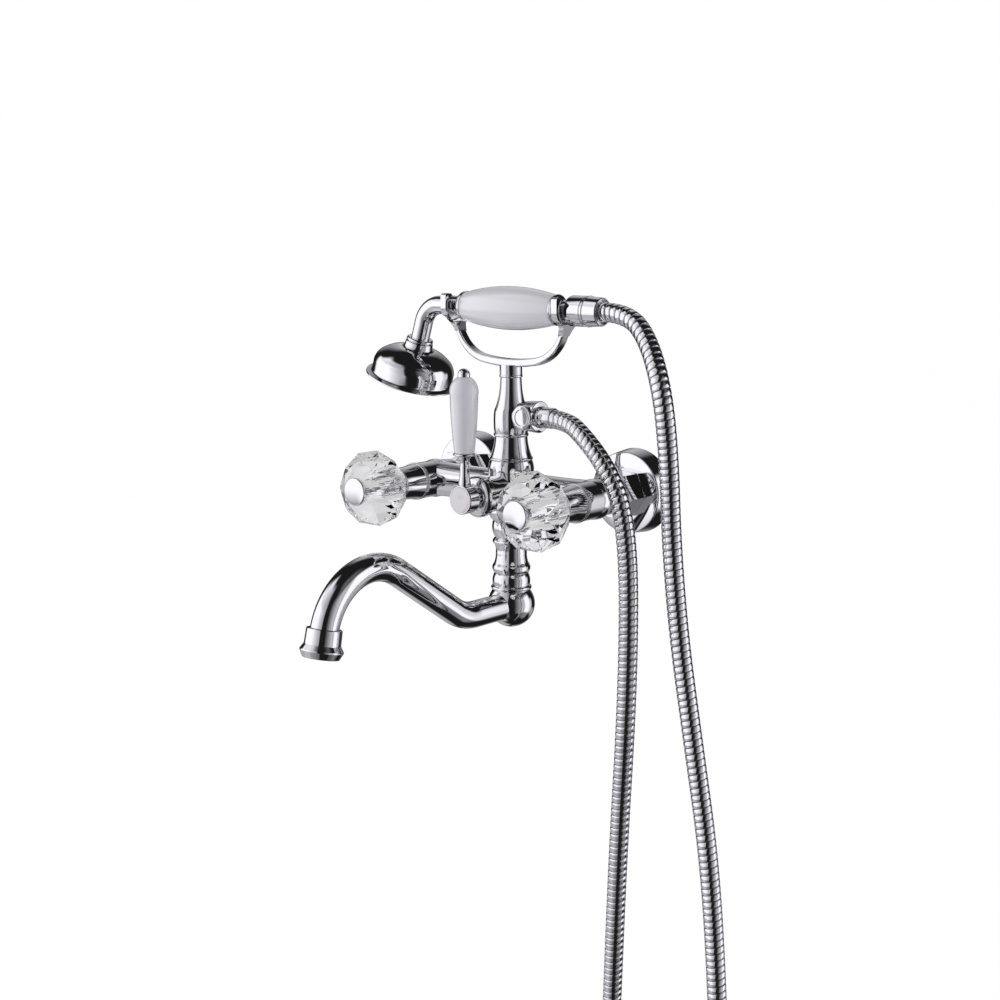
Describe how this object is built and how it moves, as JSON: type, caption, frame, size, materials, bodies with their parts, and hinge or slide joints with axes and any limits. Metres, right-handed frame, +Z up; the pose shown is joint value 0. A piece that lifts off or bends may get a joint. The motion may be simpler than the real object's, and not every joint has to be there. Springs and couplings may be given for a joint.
{
  "type": "bath mixer",
  "caption": "Wall bath mixer with faceted crystal knobs, a porcelain diverter lever, a swan-neck swivel spout and a cradled handset on a ribbed metal hose.",
  "frame": {"origin": "on the finished wall, midway between the two inlet threads", "axes": "+Z up, +Y into the wall, so the mixer stands out towards -Y; +X to the right as seen from the room, where the cold side is"},
  "size_m": [0.3284, 0.2713, 0.7372],
  "materials": {
    "chrome": "polished",
    "satin": "satin",
    "steel": "plain",
    "brass": "machined",
    "crystal": "polished",
    "porcelain": "glazed",
    "ceramic": "lapped",
    "rubber": "matte",
    "plastic": "matte",
    "hose": "polished"
  },
  "bodies": {
    "mixer": {"mixer_body": "chrome", "escutcheon_hot": "chrome", "escutcheon_cold": "chrome", "eccentric_union_hot": "chrome", "eccentric_union_cold": "chrome", "union_nut_hot": "chrome", "union_nut_cold": "chrome", "bonnet_hot": "chrome", "bonnet_cold": "chrome", "diverter_bonnet": "chrome", "diverter_gland": "chrome", "riser_column": "chrome", "handset_cradle": "chrome", "hose_outlet": "chrome", "outlet_nut": "chrome", "spout_post": "chrome", "inlet_tails": "brass", "headwork_hot": "brass", "headwork_cold": "brass", "riser_nipple": "brass", "cradle_stud": "brass", "fixed_discs": "ceramic", "union_washers": "rubber", "spout_o_rings": "rubber", "shower_hose": "hose"},
    "hot_knob": {"spindle_hot": "brass", "moving_disc_hot": "ceramic", "knob_insert_hot": "chrome", "crystal_knob_hot": "crystal", "knob_screw_hot": "steel", "knob_cap_hot": "chrome"},
    "cold_knob": {"spindle_cold": "brass", "moving_disc_cold": "ceramic", "knob_insert_cold": "chrome", "crystal_knob_cold": "crystal", "knob_screw_cold": "steel", "knob_cap_cold": "chrome"},
    "diverter": {"diverter_spindle": "brass", "diverter_rotor": "brass", "lever_hub": "chrome", "hub_disc": "satin", "lever_stem": "chrome", "lever_grip": "porcelain", "lever_finial": "chrome"},
    "spout": {"spout_hub": "chrome", "spout_tube": "chrome", "spout_screw": "steel", "aerator_housing": "chrome", "aerator_screen": "plastic"},
    "handset": {"handset_neck": "chrome", "shower_bell": "chrome", "spray_plate": "chrome", "front_ferrule": "chrome", "handset_grip": "porcelain", "handset_connector": "chrome", "handset_hose_nut": "chrome", "handset_washer": "rubber"}
  },
  "joints": [
    {"name": "hot_knob_turn", "type": "hinge", "parent": "mixer", "child": "hot_knob", "pos_m": [-0.075, -0.1, 0.006], "axis": [0, -1, 0], "range_deg": [0, 90]},
    {"name": "cold_knob_turn", "type": "hinge", "parent": "mixer", "child": "cold_knob", "pos_m": [0.075, -0.1, 0.006], "axis": [0, 1, 0], "range_deg": [0, 90]},
    {"name": "diverter_turn", "type": "hinge", "parent": "mixer", "child": "diverter", "pos_m": [0, -0.1, 0.0044], "axis": [0, -1, 0], "range_deg": [-45, 45]},
    {"name": "spout_swivel", "type": "hinge", "parent": "mixer", "child": "spout", "pos_m": [0, -0.0515, -0.064], "axis": [0, 0, 1], "range_deg": [-90, 65]},
    {"name": "handset_lift", "type": "slide", "parent": "mixer", "child": "handset", "axis": [0, 0, 1], "range_m": [0, 0.06]}
  ]
}
